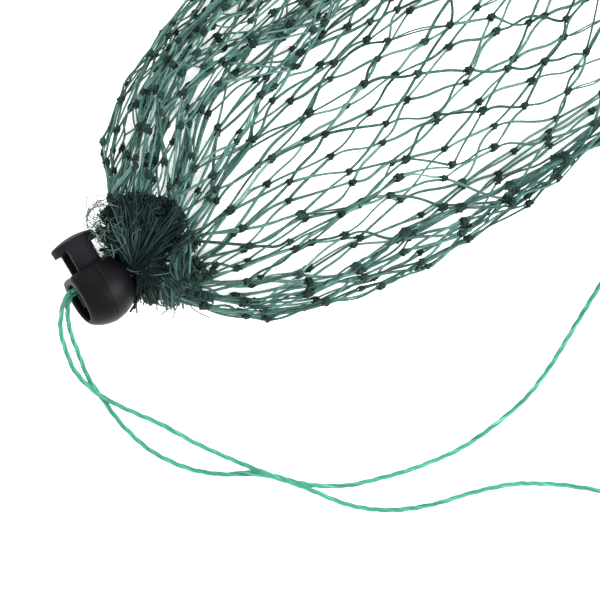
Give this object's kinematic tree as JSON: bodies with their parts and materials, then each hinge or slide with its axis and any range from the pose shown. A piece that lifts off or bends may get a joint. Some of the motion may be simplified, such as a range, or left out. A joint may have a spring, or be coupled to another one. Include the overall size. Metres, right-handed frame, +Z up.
{
  "type": "drawstring net bag",
  "caption": "Knotted twine net bag for fishing, lying flat with its mouth drawn shut by a thin drawstring that runs through a sprung ball cord lock; the bottom is whipped shut.",
  "frame": {"origin": "on the table below the middle of the part's box, leaving out the drawstring's free tails", "axes": "+X from the drawn mouth to the bottom of the bag, +Z up from the table, +Y to the side on which the cord lock's plunger points"},
  "size_m": [0.3252, 0.151, 0.0197],
  "materials": {
    "netting": "satin",
    "selvage": "satin",
    "lacing": "satin",
    "drawstring": "satin",
    "barrel": "satin",
    "plunger": "satin",
    "spring": "satin"
  },
  "bodies": {
    "net": {"net_body": "netting", "mouth_ruffle": "selvage", "drawstring_loop": "drawstring", "drawstring_lead_a": "drawstring", "drawstring_lead_b": "drawstring", "side_lacing": "lacing", "lacing_knots": "lacing", "bottom_tie": "drawstring", "bottom_tie_knot": "drawstring", "bottom_ruffle": "selvage"},
    "cord_lock": {"lock_barrel": "barrel", "lock_spring": "spring", "drawstring_tail_a": "drawstring", "drawstring_tail_b": "drawstring", "drawstring_end_knot": "drawstring"},
    "plunger": {"lock_plunger": "plunger"}
  },
  "joints": [
    {"name": "lock_slide", "type": "slide", "parent": "net", "child": "cord_lock", "axis": [-0.9519, 0.1338, 0.2756], "range_m": [0, 0.009]},
    {"name": "plunger_press", "type": "slide", "parent": "cord_lock", "child": "plunger", "axis": [-0.1392, -0.9903, 0], "range_m": [0, 0.003], "stiffness_N_per_m": 600, "springref_m": -0.003, "deforming": ["lock_spring"]}
  ]
}
